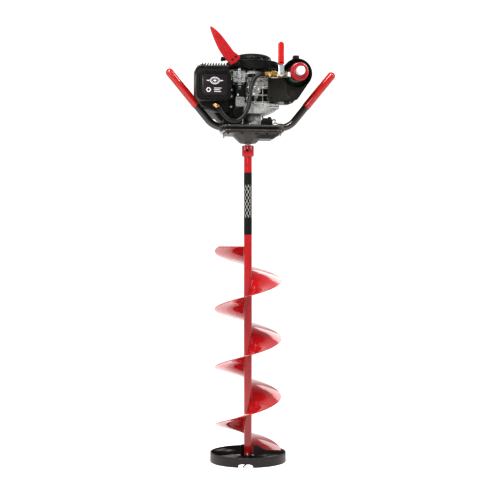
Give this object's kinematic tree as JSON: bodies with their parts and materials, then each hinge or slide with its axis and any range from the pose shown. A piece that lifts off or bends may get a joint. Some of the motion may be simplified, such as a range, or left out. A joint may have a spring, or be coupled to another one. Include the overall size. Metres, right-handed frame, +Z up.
{
  "type": "ice fishing auger",
  "caption": "Propane powered ice auger: four stroke power head with gas bottle and two handlebars over a red spiral auger that stands in a round blade guard.",
  "frame": {"origin": "on the auger's axis at the level of the floor that the blade guard stands on", "axes": "+Z up along the auger's axis, -Y towards the front with the regulator and the air filter, +X towards the gas bottle"},
  "size_m": [0.6196, 0.28, 1.545],
  "materials": {
    "red_paint": "glossy red enamel",
    "red_vinyl": "glossy red vinyl",
    "red_plastic": "smooth red plastic",
    "guard_plastic": "satin black plastic",
    "black_plastic": "fine grained black plastic",
    "gearcase_paint": "satin grey paint on cast aluminium",
    "bar_paint": "gloss dark paint",
    "casting": "as cast aluminium",
    "steel": "machined steel",
    "dark_screw": "black oxide steel",
    "brass": "turned brass",
    "zinc": "zinc plated steel",
    "bottle_paint": "gloss green paint",
    "hose_rubber": "smooth black rubber",
    "foam": "open cell foam",
    "hot_steel": "heat tinted steel",
    "ceramic": "white glazed ceramic",
    "rope": "braided rope"
  },
  "bodies": {
    "power_head": {"grip_left": "red_vinyl", "grip_right": "red_vinyl", "leaf_guard": "red_plastic", "regulator_cap": "red_plastic", "filter_base": "black_plastic", "filter_cover": "black_plastic", "engine_shroud": "black_plastic", "blower_housing": "black_plastic", "recoil_cover": "black_plastic", "bottle_shroud": "black_plastic", "stop_switch": "black_plastic", "oil_cap": "black_plastic", "rocker_cover": "black_plastic", "gearcase_tub": "gearcase_paint", "mounting_plate": "gearcase_paint", "handlebar_left": "bar_paint", "handlebar_right": "bar_paint", "clutch_housing": "casting", "oil_sump": "casting", "crankcase": "casting", "cylinder": "casting", "cylinder_head": "casting", "gas_mixer": "casting", "piston": "casting", "connecting_rod": "casting", "output_bearing": "steel", "valve_body": "brass", "hose_adapter": "brass", "hose_elbow": "brass", "regulator_body": "zinc", "union_nut": "zinc", "hose": "hose_rubber", "filter_element": "foam", "muffler": "hot_steel", "spark_plug": "ceramic"},
    "auger": {"auger_shaft": "red_paint", "flight_1": "red_paint", "flight_2": "red_paint", "flight_3": "red_paint", "flight_4": "red_paint", "coupler": "red_paint", "coupler_screw": "dark_screw", "cutter_head": "red_paint", "blade_left": "steel", "blade_right": "steel", "output_shaft": "steel", "output_gear": "steel"},
    "blade_guard": {"blade_guard": "guard_plastic"},
    "countershaft": {"countershaft_gears": "steel"},
    "clutch_drum": {"clutch_drum": "steel"},
    "crank": {"crankshaft": "steel", "flywheel": "casting"},
    "valve_handle": {"valve_lever": "zinc", "lever_sleeve": "red_vinyl"},
    "throttle": {"throttle_lever": "zinc"},
    "stop_button": {"stop_button": "red_plastic"},
    "bottle": {"gas_bottle": "bottle_paint"},
    "starter": {"starter_grip": "black_plastic", "starter_rope": "rope"},
    "pulley": {"recoil_pulley": "black_plastic"}
  },
  "joints": [
    {"name": "auger_spin", "type": "hinge", "parent": "power_head", "child": "auger", "pos_m": [0, 0, 1.16], "axis": [0, 0, 1], "continuous": true},
    {"name": "countershaft_spin", "type": "hinge", "parent": "power_head", "child": "countershaft", "pos_m": [0.062, 0, 1.18], "axis": [0, 0, 1], "continuous": true},
    {"name": "clutch_drum_spin", "type": "hinge", "parent": "power_head", "child": "clutch_drum", "pos_m": [0.02, 0.03, 1.2], "axis": [0, 0, 1], "continuous": true},
    {"name": "crank_spin", "type": "hinge", "parent": "power_head", "child": "crank", "pos_m": [0.02, 0.03, 1.34], "axis": [0, 0, 1], "continuous": true},
    {"name": "valve_turn", "type": "hinge", "parent": "power_head", "child": "valve_handle", "pos_m": [0.107, -0.094, 1.3827], "axis": [0, -1, 0], "range_deg": [0, 90]},
    {"name": "throttle_turn", "type": "hinge", "parent": "power_head", "child": "throttle", "pos_m": [-0.039, -0.069, 1.374], "axis": [0, 1, 0], "range_deg": [0, 50], "stiffness_Nm_per_rad": 0.05, "springref_deg": -17.19},
    {"name": "stop_press", "type": "slide", "parent": "power_head", "child": "stop_button", "axis": [0, 0, -1], "range_m": [0, 0.003], "stiffness_N_per_m": 600, "springref_m": -0.001},
    {"name": "bottle_out", "type": "slide", "parent": "power_head", "child": "bottle", "axis": [0, 1, 0], "range_m": [0, 0.16]},
    {"name": "starter_pull", "type": "slide", "parent": "power_head", "child": "starter", "axis": [-1, 0, 0], "range_m": [0, 0.12], "stiffness_N_per_m": 30, "springref_m": -0.05},
    {"name": "pulley_spin", "type": "hinge", "parent": "power_head", "child": "pulley", "pos_m": [0.02, 0.03, 1.442], "axis": [0, 0, 1], "range_deg": [-231, 0]},
    {"name": "guard_slide", "type": "slide", "parent": "auger", "child": "blade_guard", "axis": [0, 0, -1], "range_m": [0, 0.07]}
  ],
  "couplings": [
    {"joint": "countershaft_spin", "follows": "auger_spin", "ratio": -5},
    {"joint": "clutch_drum_spin", "follows": "auger_spin", "ratio": 20},
    {"joint": "pulley_spin", "follows": "starter_pull", "rad_per_m": -33.3}
  ]
}
